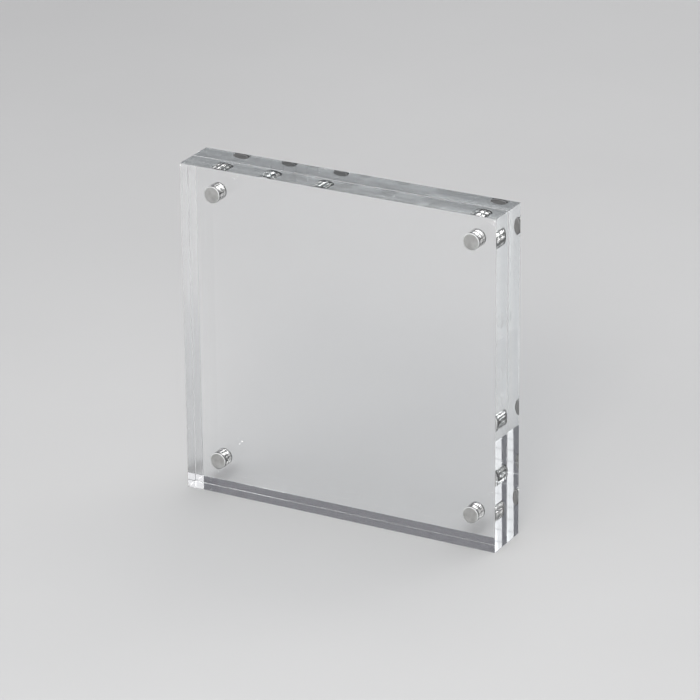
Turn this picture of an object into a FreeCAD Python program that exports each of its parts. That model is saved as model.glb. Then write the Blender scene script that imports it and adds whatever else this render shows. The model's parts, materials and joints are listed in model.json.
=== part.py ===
import FreeCAD, Part
import math
import os

import Sketcher
from FreeCAD import Rotation, Vector

# Acrylic block frame. Two equal clear blocks stand face to face, and a print goes in the
# thin slot between them. Each block has four blind pockets in its inner face, near its
# corners. A pocket holds a cured adhesive disc on its floor and a disc magnet on that.
# The magnets of the two halves meet on the plane y = 0 and stand proud of their blocks,
# which sets the width of the slot. The front of the frame looks towards -y, +z is up,
# and the origin is at the middle of the frame's bottom.

# Driving dimensions in millimetres: name, value, meaning
DIMENSIONS = [
    ("block_width", 127.0, "width of each block"),
    ("block_height", 127.0, "height of each block"),
    ("block_thickness", 9.35, "thickness of each block"),
    ("edge_bevel", 0.1, "polished bevel along every edge of a block"),
    ("magnet_diameter", 6.35, "diameter of each disc magnet"),
    ("magnet_length", 3.175, "thickness of each disc magnet"),
    ("magnet_rim_bevel", 0.2, "bevel round both ends of a magnet"),
    ("magnet_inset", 11.3, "magnet axis to the nearest two sides of the block"),
    ("magnet_proud", 0.15, "height of a magnet above the inner face of its block"),
    ("adhesive_thickness", 1.35, "cured adhesive between a pocket's floor and its magnet"),
    ("pocket_floor_bevel", 0.3, "slope that the cutter leaves between a pocket's wall and floor"),
    ("pocket_clearance", 0.05, "radial clearance of magnet and adhesive in their pocket"),
]

# Sizes and places that follow from the driving dimensions
POCKET_DEPTH = "sizes.adhesive_thickness + sizes.magnet_length - sizes.magnet_proud"
POCKET_DIAMETER = "sizes.magnet_diameter + 2 * sizes.pocket_clearance"
POCKET_OFFSET_X = "sizes.block_width / 2 - sizes.magnet_inset"
POCKET_OFFSET_Y = "sizes.block_height / 2 - sizes.magnet_inset"
OUTER_FACE = "sizes.block_thickness + sizes.magnet_proud"
MAGNET_END = "sizes.magnet_length"
ADHESIVE_END = "sizes.magnet_length + sizes.adhesive_thickness"

# Each half of the frame: the sign of its side along y, and the direction from its outer
# face towards the other half
HALVES = {"front": ("-", Vector(0, 1, 0)), "rear": ("", Vector(0, -1, 0))}

# Each corner: the sign of its x, and its height above the bottom
CORNERS = {
    "top_left": ("-", "sizes.block_height - sizes.magnet_inset"),
    "top_right": ("", "sizes.block_height - sizes.magnet_inset"),
    "bottom_left": ("-", "sizes.magnet_inset"),
    "bottom_right": ("", "sizes.magnet_inset"),
}

ORIGIN_POINT = (-1, 1)
START, END, CENTRE = 1, 2, 3
VOLUME_TOLERANCE_SHARE = 0.001

doc = FreeCAD.newDocument("acrylic_block_frame")


def make_sheet():
    """Writes the driving dimensions into a spreadsheet, one named cell in each row."""
    sheet = doc.addObject("Spreadsheet::Sheet", "sizes")
    for row, (name, value, meaning) in enumerate(DIMENSIONS, start=1):
        sheet.set(f"A{row}", name)
        sheet.set(f"B{row}", str(value))
        sheet.set(f"C{row}", meaning)
        sheet.setAlias(f"B{row}", name)
    doc.recompute()
    return sheet


def make_body(name):
    """Makes an empty body whose label is the name of its piece."""
    body = doc.addObject("PartDesign::Body", name)
    body.Label = name
    return body


def make_sketch(body, name, height=None):
    """Adds a sketch on the body's own xy plane, or at an expression's height above it."""
    sketch = body.newObject("Sketcher::SketchObject", f"{body.Name}_{name}")
    planes = [item for item in body.Origin.OriginFeatures if item.Role == "XY_Plane"]
    sketch.AttachmentSupport = [(planes[0], "")]
    sketch.MapMode = "FlatFace"
    if height:
        sketch.setExpression(".AttachmentOffset.Base.z", height)
    return sketch


def bind(sketch, constraint, name, expression):
    """Adds a named dimension to a sketch and binds it to an expression."""
    index = sketch.addConstraint(constraint)
    sketch.renameConstraint(index, name)
    sketch.setExpression(f"Constraints.{name}", expression)


def draw_outline(sketch, width, height):
    """Draws a rectangle that is centred on the sketch's origin."""
    left, right = -width / 2, width / 2
    low, high = -height / 2, height / 2
    corners = [Vector(left, low, 0), Vector(right, low, 0), Vector(right, high, 0), Vector(left, high, 0)]
    for index, corner in enumerate(corners):
        following = corners[(index + 1) % len(corners)]
        sketch.addGeometry(Part.LineSegment(corner, following), False)
    bottom, right_side, top, left_side = range(len(corners))
    for index in range(len(corners)):
        following = (index + 1) % len(corners)
        sketch.addConstraint(Sketcher.Constraint("Coincident", index, END, following, START))
    for index in (bottom, top):
        sketch.addConstraint(Sketcher.Constraint("Horizontal", index))
    for index in (right_side, left_side):
        sketch.addConstraint(Sketcher.Constraint("Vertical", index))
    sketch.addConstraint(Sketcher.Constraint("Symmetric", bottom, START, top, START, *ORIGIN_POINT))
    across = Sketcher.Constraint("DistanceX", bottom, START, bottom, END, width)
    bind(sketch, across, "outline_width", "sizes.block_width")
    upright = Sketcher.Constraint("DistanceY", right_side, START, right_side, END, height)
    bind(sketch, upright, "outline_height", "sizes.block_height")


def draw_circle(sketch, centre, diameter, expression):
    """Draws a circle whose diameter follows an expression."""
    index = sketch.addGeometry(Part.Circle(centre, Vector(0, 0, 1), diameter / 2), False)
    size = Sketcher.Constraint("Diameter", index, diameter)
    bind(sketch, size, f"diameter_{index}", expression)
    return index


def draw_pocket_circle(sketch, sheet, side_x, side_y):
    """Draws one pocket's circle, in the quarter of the block that the two signs name."""
    offset_x = sheet.block_width / 2 - sheet.magnet_inset
    offset_y = sheet.block_height / 2 - sheet.magnet_inset
    diameter = sheet.magnet_diameter + 2 * sheet.pocket_clearance
    centre = Vector(side_x * offset_x, side_y * offset_y, 0)
    index = draw_circle(sketch, centre, diameter, POCKET_DIAMETER)
    places = (
        ("DistanceX", side_x, offset_x, POCKET_OFFSET_X),
        ("DistanceY", side_y, offset_y, POCKET_OFFSET_Y),
    )
    for kind, side, value, expression in places:
        ends = [ORIGIN_POINT, (index, CENTRE)]
        if side < 0:
            ends.reverse()
        place = Sketcher.Constraint(kind, *ends[0], *ends[1], value)
        bind(sketch, place, f"{kind}_{index}", expression)


def circle_edges(shape, low, high):
    """Names the circular edges of a shape whose height lies between low and high."""
    names = []
    for number, edge in enumerate(shape.Edges, start=1):
        if isinstance(edge.Curve, Part.Circle) and low < edge.Curve.Center.z < high:
            names.append(f"Edge{number}")
    return names


def add_bevel(body, name, base, edges, size):
    """Bevels the named edges of a body's last feature."""
    bevel = body.newObject("PartDesign::Chamfer", f"{body.Name}_{name}")
    bevel.Base = (base, edges)
    bevel.setExpression("Size", size)
    doc.recompute()
    return bevel


def make_block(name, sheet):
    """Makes one block, lying on its outer face with the pockets' mouths on top."""
    body = make_body(name)
    outline = make_sketch(body, "outline")
    draw_outline(outline, sheet.block_width, sheet.block_height)
    slab = body.newObject("PartDesign::Pad", f"{name}_slab")
    slab.Profile = outline
    slab.setExpression("Length", "sizes.block_thickness")
    doc.recompute()
    edges = [f"Edge{number}" for number in range(1, len(slab.Shape.Edges) + 1)]
    bevel = add_bevel(body, "edge_bevel", slab, edges, "sizes.edge_bevel")
    mouths = make_sketch(body, "mouths", "sizes.block_thickness")
    for side_x in (-1, 1):
        for side_y in (-1, 1):
            draw_pocket_circle(mouths, sheet, side_x, side_y)
    pockets = body.newObject("PartDesign::Pocket", f"{name}_pockets")
    pockets.Profile = mouths
    pockets.setExpression("Length", POCKET_DEPTH)
    doc.recompute()
    check_pockets(bevel, pockets, sheet)
    depth = sheet.adhesive_thickness + sheet.magnet_length - sheet.magnet_proud
    middle = sheet.block_thickness - depth / 2
    floors = circle_edges(pockets.Shape, 0, middle)
    add_bevel(body, "floor_bevel", pockets, floors, "sizes.pocket_floor_bevel")
    return body


def check_pockets(before, after, sheet):
    """Stops the build if the four pockets don't take their own volume out of the block."""
    radius = sheet.magnet_diameter / 2 + sheet.pocket_clearance
    depth = sheet.adhesive_thickness + sheet.magnet_length - sheet.magnet_proud
    expected = len(CORNERS) * math.pi * radius**2 * depth
    removed = before.Shape.Volume - after.Shape.Volume
    if abs(removed - expected) > VOLUME_TOLERANCE_SHARE * expected:
        raise RuntimeError(f"pockets took {removed} out of {before.Label} and not {expected}")


def make_disc(name, diameter, length, sheet):
    """Makes a plain disc that stands on its outer end, from two named dimensions."""
    body = make_body(name)
    outline = make_sketch(body, "outline")
    centre = Vector(0, 0, 0)
    index = draw_circle(outline, centre, sheet.getPropertyByName(diameter), f"sizes.{diameter}")
    outline.addConstraint(Sketcher.Constraint("Coincident", index, CENTRE, *ORIGIN_POINT))
    disc = body.newObject("PartDesign::Pad", f"{name}_disc")
    disc.Profile = outline
    disc.setExpression("Length", f"sizes.{length}")
    doc.recompute()
    return body, disc


def make_magnet(name, sheet):
    """Makes one disc magnet with both of its rims bevelled."""
    body, disc = make_disc(name, "magnet_diameter", "magnet_length", sheet)
    rims = circle_edges(disc.Shape, -sheet.magnet_length, 2 * sheet.magnet_length)
    add_bevel(body, "rim_bevel", disc, rims, "sizes.magnet_rim_bevel")
    return body


def make_adhesive(name, sheet):
    """Makes one cured adhesive disc, bevelled where it filled the corner of its pocket."""
    body, disc = make_disc(name, "magnet_diameter", "adhesive_thickness", sheet)
    rims = circle_edges(disc.Shape, -sheet.adhesive_thickness, sheet.adhesive_thickness / 2)
    add_bevel(body, "floor_bevel", disc, rims, "sizes.pocket_floor_bevel")
    return body


def place(body, inwards, place_x, place_y, place_z):
    """Points a body's own +z inwards and binds the place of its outer end to expressions."""
    body.Placement.Rotation = Rotation(Vector(0, 0, 1), inwards)
    body.setExpression(".Placement.Base.x", place_x)
    body.setExpression(".Placement.Base.y", place_y)
    body.setExpression(".Placement.Base.z", place_z)


def make_half(half, sheet):
    """Makes one half of the frame: its block, and a magnet and adhesive in each corner."""
    side, inwards = HALVES[half]
    block = make_block(f"{half}_block", sheet)
    place(block, inwards, "0 mm", f"{side}({OUTER_FACE})", "sizes.block_height / 2")
    pieces = [block]
    for corner, (side_x, height) in CORNERS.items():
        across = f"{side_x}({POCKET_OFFSET_X})"
        magnet = make_magnet(f"{half}_magnet_{corner}", sheet)
        place(magnet, inwards, across, f"{side}({MAGNET_END})", height)
        adhesive = make_adhesive(f"{half}_adhesive_{corner}", sheet)
        place(adhesive, inwards, across, f"{side}({ADHESIVE_END})", height)
        pieces += [magnet, adhesive]
    return pieces


def check_document(pieces):
    """Stops the build if a feature failed or a piece isn't one valid solid."""
    for item in doc.Objects:
        if "Invalid" in item.State or "Error" in item.State:
            raise RuntimeError(f"{item.Name} failed: {item.State}")
    for piece in pieces:
        shape = piece.Shape
        if shape.isNull() or not shape.isValid() or len(shape.Solids) != 1:
            raise RuntimeError(f"{piece.Label} isn't one valid solid")


def export(pieces):
    """Writes each piece to its own file, named after its label."""
    os.makedirs("parts", exist_ok=True)
    for piece in pieces:
        piece.Shape.exportStep(f"parts/{piece.Label}.step")
        box = piece.Shape.BoundBox
        print(piece.Label, f"{piece.Shape.Volume:.2f}", box)


sheet = make_sheet()
pieces = [piece for half in HALVES for piece in make_half(half, sheet)]
doc.recompute()
check_document(pieces)
export(pieces)
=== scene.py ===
import json
import math

import bmesh
import bpy
from mathutils import Matrix, Vector

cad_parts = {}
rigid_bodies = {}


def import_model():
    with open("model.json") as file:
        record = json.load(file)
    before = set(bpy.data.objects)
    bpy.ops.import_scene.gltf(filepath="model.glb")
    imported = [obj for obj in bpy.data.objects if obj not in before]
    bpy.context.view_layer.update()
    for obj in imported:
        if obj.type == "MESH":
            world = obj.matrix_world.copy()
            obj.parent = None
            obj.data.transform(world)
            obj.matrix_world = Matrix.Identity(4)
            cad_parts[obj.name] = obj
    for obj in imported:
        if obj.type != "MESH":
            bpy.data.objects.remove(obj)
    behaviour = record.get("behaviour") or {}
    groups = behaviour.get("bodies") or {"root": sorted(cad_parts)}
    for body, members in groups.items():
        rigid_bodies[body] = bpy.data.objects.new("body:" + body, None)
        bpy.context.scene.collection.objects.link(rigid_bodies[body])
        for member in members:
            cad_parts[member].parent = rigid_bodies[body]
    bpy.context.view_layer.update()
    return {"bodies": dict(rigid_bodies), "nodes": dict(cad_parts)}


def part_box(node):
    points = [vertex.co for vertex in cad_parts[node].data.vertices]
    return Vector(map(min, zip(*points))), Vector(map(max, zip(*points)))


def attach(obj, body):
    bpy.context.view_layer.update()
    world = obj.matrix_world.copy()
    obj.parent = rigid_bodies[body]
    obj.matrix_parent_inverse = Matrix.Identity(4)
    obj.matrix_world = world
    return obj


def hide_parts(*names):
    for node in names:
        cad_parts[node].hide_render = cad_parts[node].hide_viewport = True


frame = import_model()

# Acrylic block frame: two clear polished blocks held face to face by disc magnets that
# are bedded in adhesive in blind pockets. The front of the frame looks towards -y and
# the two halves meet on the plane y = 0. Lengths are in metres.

SCENE = bpy.context.scene

HALVES = ("front", "rear")
CORNERS = ("top_left", "top_right", "bottom_left", "bottom_right")

# Visible shapes. A pocket's walls lie BEDDING inside the pieces that fill it, and a face
# whose normal has a share over FLAT_SHARE along one axis counts as flat.
EDGE_ROUNDING = 0.0001
EDGE_STEPS = 3
ROUND_STEPS = 96
RIM_ROUNDING = 0.0002
RIM_STEPS = 4
FLOOR_SLOPE = 0.00035
BEDDING = 0.00001
CUTTER_OVERRUN = 0.001
SHARP_ANGLE = math.radians(35)
FLAT_SHARE = 0.99999

# Clear cast acrylic
ACRYLIC_INDEX = 1.49
ACRYLIC_DENSITY = 1.2
EDGE_WAVES = 0.0000003

# Relief of the magnets' scores and rings and of the adhesive
SCORE_HEIGHT = 0.00006
RING_HEIGHT = 0.00004
GLUE_HEIGHT = 0.00004

# Camera of the photograph
VIEW_AZIMUTH = math.radians(28.9058)
VIEW_ELEVATION = math.radians(22.384)
VIEW_ROLL = math.radians(-0.6353)
VIEW_DISTANCE = 1.47403
VIEW_TARGET = Vector((0, -0.0095, 0.0635))
LENS_MM = 211.907
SENSOR_MM = 36
SHIFT = (0.01904, 0.010755)

# Studio
BOUNCES = 64
SHADOW_CROSSINGS = 32
FLOOR_DROP = 0.0002
FLOOR_SIZE = 30
OPEN = 180
GRIDDED = 120
# Lamps: name, azimuth and elevation from the frame in degrees, distance, width, height,
# radiance towards the frame and spread in degrees
LAMPS = [
    ("key", 17, 32, 1.6, 0.38, 0.38, 38.0, GRIDDED),
    ("softbox", 5, 38, 1.8, 1.9, 0.55, 5.6, GRIDDED),
    ("behind", 176, 35, 1.5, 1.45, 0.42, 2.7, OPEN),
    ("back_fill", 180, 56, 1.6, 1.4, 0.5, 3.0, GRIDDED),
    ("overhead", 0, 90, 1.5, 1.2, 1.2, 0.5, OPEN),
    ("low_right_card", 34, 6, 1.5, 0.45, 0.4, 3.0, GRIDDED),
    ("low_left_card", -34, 6, 1.5, 0.45, 0.4, 3.0, GRIDDED),
    ("front_left_card", -28.9, 23, 1.3, 0.62, 0.62, 0.86, OPEN),
    ("back_right_card", 151.1, 23, 1.3, 0.62, 0.62, 0.8, OPEN),
]


def rounded_box(low, high):
    """A closed box with finely rounded edges."""
    mesh = bmesh.new()
    bmesh.ops.create_cube(mesh, size=1)
    size = high - low
    for vertex in mesh.verts:
        vertex.co = (low + high) / 2 + Vector(a * b for a, b in zip(vertex.co, size))
    bmesh.ops.bevel(
        mesh, geom=mesh.edges[:], offset=EDGE_ROUNDING, segments=EDGE_STEPS, profile=0.5,
        affect="EDGES",
    )
    return mesh


def turned(centre, side, profile):
    """A closed solid turned round the y axis through centre, from (depth, radius) pairs."""
    mesh = bmesh.new()
    rings = []
    for depth, radius in profile:
        ring = []
        for step in range(ROUND_STEPS):
            angle = 2 * math.pi * step / ROUND_STEPS
            across = centre[0] + radius * math.cos(angle)
            up = centre[1] + radius * math.sin(angle)
            ring.append(mesh.verts.new((across, side * depth, up)))
        rings.append(ring)
    for near, far in zip(rings, rings[1:]):
        for step in range(ROUND_STEPS):
            after = (step + 1) % ROUND_STEPS
            mesh.faces.new((near[step], near[after], far[after], far[step]))
    mesh.faces.new(rings[0])
    mesh.faces.new(rings[-1])
    bmesh.ops.recalc_face_normals(mesh, faces=mesh.faces[:])
    return mesh


def quarter_round(depth, radius, size, towards):
    """Points of a rounded rim, from the end face at depth out to the side."""
    points = []
    for step in range(RIM_STEPS + 1):
        angle = math.pi / 2 * step / RIM_STEPS
        inset = size * (1 - math.cos(angle))
        points.append((depth + towards * inset, radius - size + size * math.sin(angle)))
    return points


def add_object(name, bmesh_data):
    """Makes an object of a bmesh, which is freed."""
    mesh = bpy.data.meshes.new(name)
    bmesh_data.to_mesh(mesh)
    bmesh_data.free()
    made = bpy.data.objects.new(name, mesh)
    SCENE.collection.objects.link(made)
    return made


def shade(mesh):
    """Shades round surfaces smooth, and keeps flat ones and sharp edges as they are."""
    mesh.set_sharp_from_angle(angle=SHARP_ANGLE)
    for face in mesh.polygons:
        face.use_smooth = max(abs(share) for share in face.normal) < FLAT_SHARE


def cut(target, cutters):
    """Takes the cutters out of the target and deletes them."""
    for cutter in cutters:
        modifier = target.modifiers.new(cutter.name, "BOOLEAN")
        modifier.operation = "DIFFERENCE"
        modifier.solver = "EXACT"
        modifier.object = cutter
    bpy.context.view_layer.update()
    graph = bpy.context.evaluated_depsgraph_get()
    mesh = bpy.data.meshes.new_from_object(target.evaluated_get(graph))
    target.modifiers.clear()
    target.data = mesh
    for cutter in cutters:
        bpy.data.objects.remove(cutter)


def add_node(tree, kind, inputs=None, **settings):
    """Adds a shader node with its settings and the values of its inputs."""
    made = tree.nodes.new(kind)
    for name, value in settings.items():
        setattr(made, name, value)
    for name, value in (inputs or {}).items():
        made.inputs[name].default_value = value
    return made


def new_material(name):
    """Makes a node material; returns it, its tree, its main shader and its output."""
    material = bpy.data.materials.new(name)
    material.use_nodes = True
    tree = material.node_tree
    return material, tree, tree.nodes["Principled BSDF"], tree.nodes["Material Output"]


def add_noise(tree, scale, detail, stretch=(1, 1, 1)):
    """Adds noise in the object's own space; returns the socket."""
    place = add_node(tree, "ShaderNodeTexCoord")
    mapping = add_node(tree, "ShaderNodeMapping", {"Scale": stretch})
    noise = add_node(tree, "ShaderNodeTexNoise", {"Scale": scale, "Detail": detail})
    tree.links.new(place.outputs["Object"], mapping.inputs["Vector"])
    tree.links.new(mapping.outputs["Vector"], noise.inputs["Vector"])
    return noise.outputs["Fac"]


def add_range(tree, source, low, high, start=0.3, end=0.7):
    """Maps a value from start-end to low-high; returns the socket."""
    values = {"From Min": start, "From Max": end, "To Min": low, "To Max": high}
    mapped = add_node(tree, "ShaderNodeMapRange", values)
    tree.links.new(source, mapped.inputs["Value"])
    return mapped.outputs["Result"]


def add_colours(tree, source, stops):
    """Maps a value to colours; returns the socket."""
    ramp = add_node(tree, "ShaderNodeValToRGB")
    elements = ramp.color_ramp.elements
    while len(elements) < len(stops):
        elements.new(0.5)
    for element, (place, colour) in zip(elements, stops):
        element.position = place
        element.color = (*colour, 1)
    tree.links.new(source, ramp.inputs["Fac"])
    return ramp.outputs["Color"]


def add_math(tree, operation, first, second):
    """Joins two values by an operation; returns the socket."""
    joined = add_node(tree, "ShaderNodeMath", operation=operation)
    tree.links.new(first, joined.inputs[0])
    tree.links.new(second, joined.inputs[1])
    return joined.outputs["Value"]


def add_bump(tree, source, distance, under=None):
    """Turns a height into a bumped normal, laid over another if given; returns the socket."""
    bump = add_node(tree, "ShaderNodeBump", {"Strength": 1, "Distance": distance})
    tree.links.new(source, bump.inputs["Height"])
    if under is not None:
        tree.links.new(under, bump.inputs["Normal"])
    return bump.outputs["Normal"]


def face_share(tree):
    """How squarely a surface looks along y, from 0 to 1; returns the socket."""
    geometry = add_node(tree, "ShaderNodeNewGeometry")
    parts = add_node(tree, "ShaderNodeSeparateXYZ")
    size = add_node(tree, "ShaderNodeMath", operation="ABSOLUTE")
    tree.links.new(geometry.outputs["Normal"], parts.inputs["Vector"])
    tree.links.new(parts.outputs["Y"], size.inputs[0])
    return size.outputs["Value"]


def mix_by_face(tree, side, face, start=0.8, end=0.95):
    """Gives faces one colour where they look along y and another where they don't."""
    mix = add_node(tree, "ShaderNodeMix", data_type="RGBA")
    share = add_range(tree, face_share(tree), low=0, high=1, start=start, end=end)
    tree.links.new(share, mix.inputs["Factor"])
    tree.links.new(side, mix.inputs["A"])
    tree.links.new(face, mix.inputs["B"])
    return mix.outputs["Result"]


def acrylic():
    """Clear cast acrylic: still large faces, and edges with faint waves of polishing."""
    material, tree, shader, output = new_material("clear_acrylic")
    shader.inputs["Base Color"].default_value = (0.996, 0.996, 0.997, 1)
    shader.inputs["IOR"].default_value = ACRYLIC_INDEX
    shader.inputs["Transmission Weight"].default_value = 1.0
    on_edges = add_range(tree, face_share(tree), low=1, high=0, start=0.2, end=0.9)
    haze = add_range(tree, add_noise(tree, scale=60, detail=3), low=0.005, high=0.035)
    tree.links.new(add_math(tree, "MULTIPLY", haze, on_edges), shader.inputs["Roughness"])
    waves = add_math(tree, "MULTIPLY", add_noise(tree, scale=90, detail=2), on_edges)
    tree.links.new(add_bump(tree, waves, EDGE_WAVES), shader.inputs["Normal"])
    lamp_rays = add_node(tree, "ShaderNodeLightPath")
    clear = add_node(tree, "ShaderNodeBsdfTransparent", {"Color": (0.93, 0.935, 0.94, 1)})
    mix = add_node(tree, "ShaderNodeMixShader")
    tree.links.new(lamp_rays.outputs["Is Shadow Ray"], mix.inputs["Fac"])
    tree.links.new(shader.outputs["BSDF"], mix.inputs[1])
    tree.links.new(clear.outputs["BSDF"], mix.inputs[2])
    tree.links.new(mix.outputs["Shader"], output.inputs["Surface"])
    values = {"Color": (0.72, 0.86, 0.9, 1), "Density": ACRYLIC_DENSITY}
    volume = add_node(tree, "ShaderNodeVolumeAbsorption", values)
    tree.links.new(volume.outputs["Volume"], output.inputs["Volume"])
    return material


def nickel():
    """Bright nickel plating, with rings round its sides and scores along the axis; the
    near-black lines and dark rings in its colour are painted dark reflections.
    """
    material, tree, shader, _ = new_material("magnet_nickel")
    scores = add_noise(tree, scale=2000, detail=1, stretch=(1, 0.05, 1))
    rings = add_noise(tree, scale=1500, detail=1, stretch=(0.08, 1, 0.08))
    unscored = add_range(tree, scores, low=0.6, high=1, start=0.44, end=0.5)
    on_ends = add_range(tree, face_share(tree), low=0, high=1, start=0.8, end=0.95)
    tree.links.new(add_math(tree, "MAXIMUM", unscored, on_ends), shader.inputs["Metallic"])
    # The near-black lines of the sides' colour are painted dark reflections along the scores,
    # whose relief is real.
    side = [
        (0.42, (0.06, 0.06, 0.057)),
        (0.46, (0.8, 0.795, 0.78)),
        (0.7, (0.94, 0.935, 0.92)),
    ]
    # The rings darken the colour as painted dark reflections over the rings of relief.
    ring = [(0.39, (0.3, 0.3, 0.3)), (0.45, (1, 1, 1))]
    end = [(0.3, (0.74, 0.735, 0.72)), (0.7, (0.84, 0.835, 0.82))]
    marks_and_painted_reflections = add_node(
        tree, "ShaderNodeMix", {"Factor": 1}, data_type="RGBA", blend_type="MULTIPLY"
    )
    tree.links.new(add_colours(tree, scores, side), marks_and_painted_reflections.inputs["A"])
    tree.links.new(add_colours(tree, rings, ring), marks_and_painted_reflections.inputs["B"])
    colour = mix_by_face(tree, marks_and_painted_reflections.outputs["Result"], add_colours(tree, scores, end))
    tree.links.new(colour, shader.inputs["Base Color"])
    rough = add_range(tree, scores, low=0.34, high=0.06, start=0.44, end=0.52)
    tree.links.new(rough, shader.inputs["Roughness"])
    scored = add_bump(tree, scores, SCORE_HEIGHT)
    tree.links.new(add_bump(tree, rings, RING_HEIGHT, scored), shader.inputs["Normal"])
    return material


def adhesive():
    """Cured satin adhesive: grey on its end, a painted highlight on the slope and painted shade
    on its outer side.
    """
    material, tree, shader, _ = new_material("cured_adhesive")
    mottle = add_noise(tree, scale=420, detail=5)
    # The dark colour of the adhesive's side is painted shade.
    painted_shade_wall = [(0.3, (0.07, 0.07, 0.07)), (0.7, (0.13, 0.13, 0.13))]
    # The near-white colour of the slope is a painted highlight.
    slope = [(0.3, (0.94, 0.94, 0.94)), (0.7, (0.98, 0.98, 0.97))]
    end = [(0.3, (0.4, 0.395, 0.385)), (0.7, (0.585, 0.58, 0.57))]
    painted_shade_wall, slope, end = (add_colours(tree, mottle, stops) for stops in (painted_shade_wall, slope, end))
    painted_light_rim = mix_by_face(tree, painted_shade_wall, slope, start=0.3, end=0.5)
    tree.links.new(mix_by_face(tree, painted_light_rim, end), shader.inputs["Base Color"])
    shader.inputs["Specular IOR Level"].default_value = 0.02
    tree.links.new(add_range(tree, mottle, low=0.34, high=0.5), shader.inputs["Roughness"])
    tree.links.new(add_bump(tree, mottle, GLUE_HEIGHT), shader.inputs["Normal"])
    return material


def floor_paint():
    """Matt pale studio floor with a barely visible unevenness."""
    material, tree, shader, _ = new_material("pale_floor")
    cloud = add_noise(tree, scale=6, detail=4)
    stops = [(0.3, (0.57, 0.57, 0.565)), (0.7, (0.59, 0.59, 0.585))]
    tree.links.new(add_colours(tree, cloud, stops), shader.inputs["Base Color"])
    tree.links.new(add_range(tree, cloud, low=0.8, high=0.9), shader.inputs["Roughness"])
    shader.inputs["Specular IOR Level"].default_value = 0.1
    return material


def dress(piece, node, material):
    """Puts a finished piece in the place of its node."""
    piece.data.materials.clear()
    piece.data.materials.append(material)
    shade(piece.data)
    body = next(name for name, empty in frame["bodies"].items()
                if frame["nodes"][node].parent == empty)
    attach(piece, body)
    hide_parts(node)


def make_half(half, materials):
    """Makes one half: its block with four pockets, its magnets and their adhesive."""
    side = -1 if half == "front" else 1
    cutters = []
    for corner in CORNERS:
        low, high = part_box(f"{half}_magnet_{corner}")
        centre = ((low.x + high.x) / 2, (low.z + high.z) / 2)
        radius = (high.z - low.z) / 2
        magnet_end = max(abs(low.y), abs(high.y))
        profile = quarter_round(0, radius, RIM_ROUNDING, towards=1)
        profile += quarter_round(magnet_end, radius, RIM_ROUNDING, towards=-1)[::-1]
        magnet = add_object(f"{half}_disc_{corner}", turned(centre, side, profile))
        dress(magnet, f"{half}_magnet_{corner}", materials["nickel"])

        low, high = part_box(f"{half}_adhesive_{corner}")
        glue_end = max(abs(low.y), abs(high.y))
        slope = [(glue_end - FLOOR_SLOPE, radius), (glue_end, radius - FLOOR_SLOPE)]
        profile = [(magnet_end, radius), *slope]
        glue = add_object(f"{half}_bed_{corner}", turned(centre, side, profile))
        dress(glue, f"{half}_adhesive_{corner}", materials["adhesive"])

        pocket = [(-CUTTER_OVERRUN, radius - BEDDING)]
        pocket += [(depth - BEDDING, reach - BEDDING) for depth, reach in slope]
        cutters.append(add_object(f"{half}_pocket_{corner}", turned(centre, side, pocket)))
    block = add_object(f"{half}_pane", rounded_box(*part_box(f"{half}_block")))
    cut(block, cutters)
    dress(block, f"{half}_block", materials["acrylic"])


def direction(azimuth, elevation):
    """The unit vector towards an azimuth, from the front to the right, and elevation."""
    level = math.cos(elevation)
    return Vector((math.sin(azimuth) * level, -math.cos(azimuth) * level, math.sin(elevation)))


def make_floor():
    """Makes the floor, just clear of the blocks' lower edges."""
    half = FLOOR_SIZE / 2
    mesh = bmesh.new()
    corners = [(-half, -half), (half, -half), (half, half), (-half, half)]
    mesh.faces.new([mesh.verts.new((x, y, -FLOOR_DROP)) for x, y in corners])
    floor = add_object("floor", mesh)
    floor.data.materials.append(floor_paint())


def make_world():
    """Makes the room: pale up to the horizon, dark above it and less dark overhead."""
    world = bpy.data.worlds.new("room")
    SCENE.world = world
    world.use_nodes = True
    tree = world.node_tree
    place = add_node(tree, "ShaderNodeTexCoord")
    parts = add_node(tree, "ShaderNodeSeparateXYZ")
    tree.links.new(place.outputs["Generated"], parts.inputs["Vector"])
    stops = [
        (0.0, (0.6, 0.6, 0.6)),
        (0.06, (0.55, 0.55, 0.55)),
        (0.26, (0.09, 0.091, 0.108)),
        (1.0, (0.19, 0.19, 0.21)),
    ]
    colour = add_colours(tree, parts.outputs["Z"], stops)
    tree.links.new(colour, tree.nodes["Background"].inputs["Color"])


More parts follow.
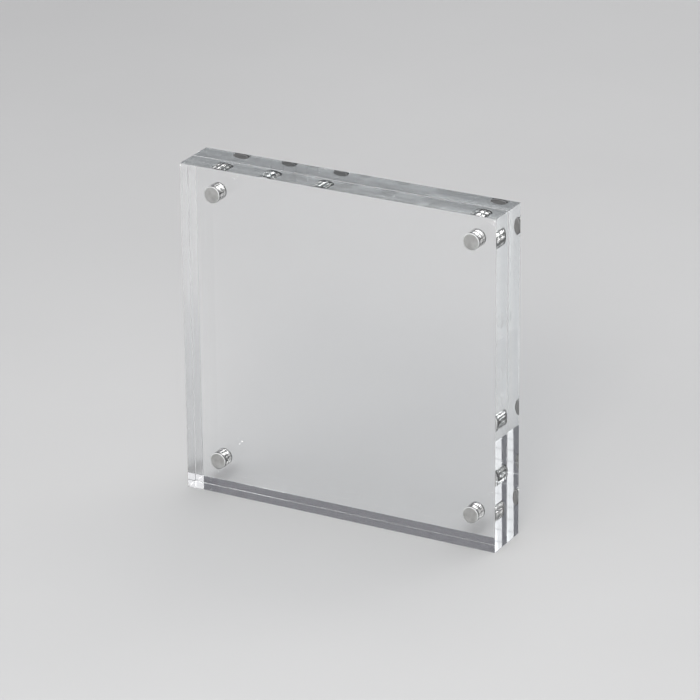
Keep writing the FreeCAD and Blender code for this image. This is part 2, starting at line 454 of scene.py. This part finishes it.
def make_lamp(name, azimuth, elevation, distance, width, height, radiance, spread):
    """Makes a rectangular lamp that faces the frame; a grid narrows its spread."""
    data = bpy.data.lights.new(name, "AREA")
    data.shape = "RECTANGLE"
    data.size = width
    data.size_y = height
    data.energy = math.pi * radiance * width * height
    if spread < OPEN:
        half = math.radians(spread / 2)
        data.spread = 2 * half
        data.energy *= 1 - half / math.tan(half)  # a grid brightens the lamp's middle
    lamp = bpy.data.objects.new(name, data)
    SCENE.collection.objects.link(lamp)
    back = direction(math.radians(azimuth), math.radians(elevation))
    lamp.location = VIEW_TARGET + back * distance
    lamp.rotation_mode = "QUATERNION"
    lamp.rotation_quaternion = back.to_track_quat("Z", "Y")


def make_camera():
    """Makes the photograph's camera."""
    data = bpy.data.cameras.new("camera")
    data.sensor_width = SENSOR_MM
    data.lens = LENS_MM
    data.shift_x, data.shift_y = SHIFT
    camera = bpy.data.objects.new("camera", data)
    SCENE.collection.objects.link(camera)
    back = direction(VIEW_AZIMUTH, VIEW_ELEVATION)
    level = Vector((math.cos(VIEW_AZIMUTH), math.sin(VIEW_AZIMUTH), 0))
    upright = back.cross(level)
    right = level * math.cos(VIEW_ROLL) + upright * math.sin(VIEW_ROLL)
    up = upright * math.cos(VIEW_ROLL) - level * math.sin(VIEW_ROLL)
    turn = Matrix((right, up, back)).transposed()
    camera.matrix_world = Matrix.Translation(VIEW_TARGET + back * VIEW_DISTANCE) @ turn.to_4x4()
    SCENE.camera = camera


def set_render():
    """Lets light cross the blocks often enough for their inner reflections."""
    SCENE.view_settings.view_transform = "Standard"
    SCENE.cycles.max_bounces = BOUNCES
    SCENE.cycles.transmission_bounces = BOUNCES
    SCENE.cycles.glossy_bounces = BOUNCES
    SCENE.cycles.transparent_max_bounces = SHADOW_CROSSINGS
    SCENE.cycles.caustics_reflective = False
    SCENE.cycles.caustics_refractive = False


materials = {"acrylic": acrylic(), "nickel": nickel(), "adhesive": adhesive()}
for half in HALVES:
    make_half(half, materials)
make_floor()
make_world()
for lamp in LAMPS:
    make_lamp(*lamp)
make_camera()
set_render()
